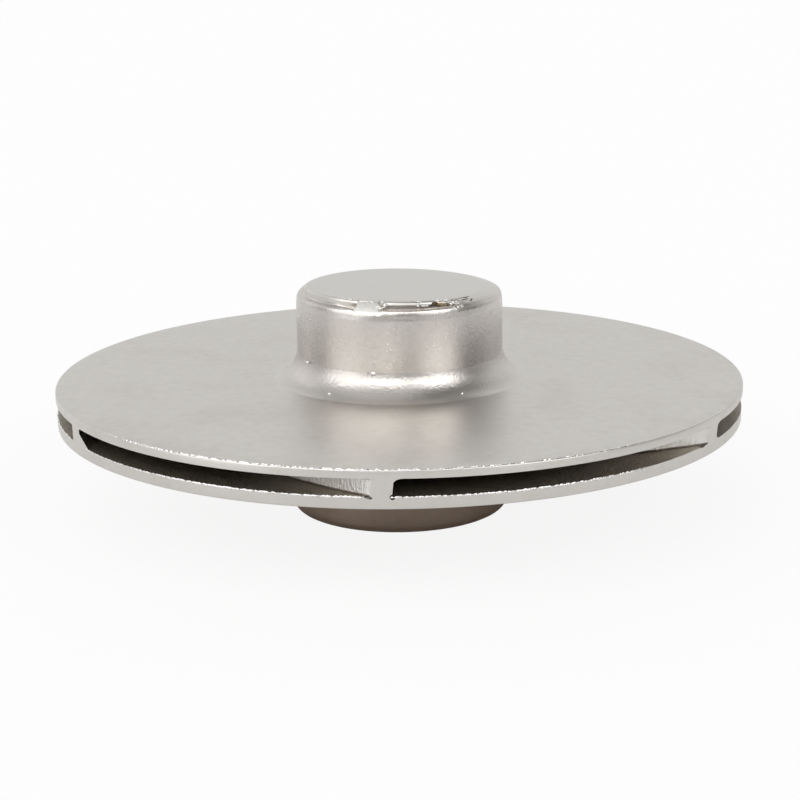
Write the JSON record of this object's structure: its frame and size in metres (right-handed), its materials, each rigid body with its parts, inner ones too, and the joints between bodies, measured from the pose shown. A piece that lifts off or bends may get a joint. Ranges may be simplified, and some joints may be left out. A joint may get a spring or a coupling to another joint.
{
  "type": "closed pump impeller casting",
  "caption": "Closed centrifugal pump impeller as a raw steel casting: two shrouds with curved vanes between them, a solid hub on the back and a suction ring below.",
  "frame": {"origin": "centre of the suction ring's foot, on which the casting stands", "axes": "+Z along the shaft axis, from the suction eye towards the hub; -Y towards the viewer of the picture"},
  "size_m": [0.21, 0.21, 0.0701],
  "materials": {
    "cast_steel": "as cast and shot blasted, matte on the disc",
    "ground_steel": "sawn and roughly ground",
    "flow_skin": "as cast inside the passages, darker than the outside"
  },
  "bodies": {
    "root": {"back_shroud": "cast_steel", "hub": "cast_steel", "gate_stub": "ground_steel", "hub_nose": "flow_skin", "front_shroud": "cast_steel", "suction_ring": "cast_steel", "vane_1": "flow_skin", "vane_2": "flow_skin", "vane_3": "flow_skin", "vane_4": "flow_skin", "vane_5": "flow_skin", "vane_6": "flow_skin"}
  },
  "joints": []
}
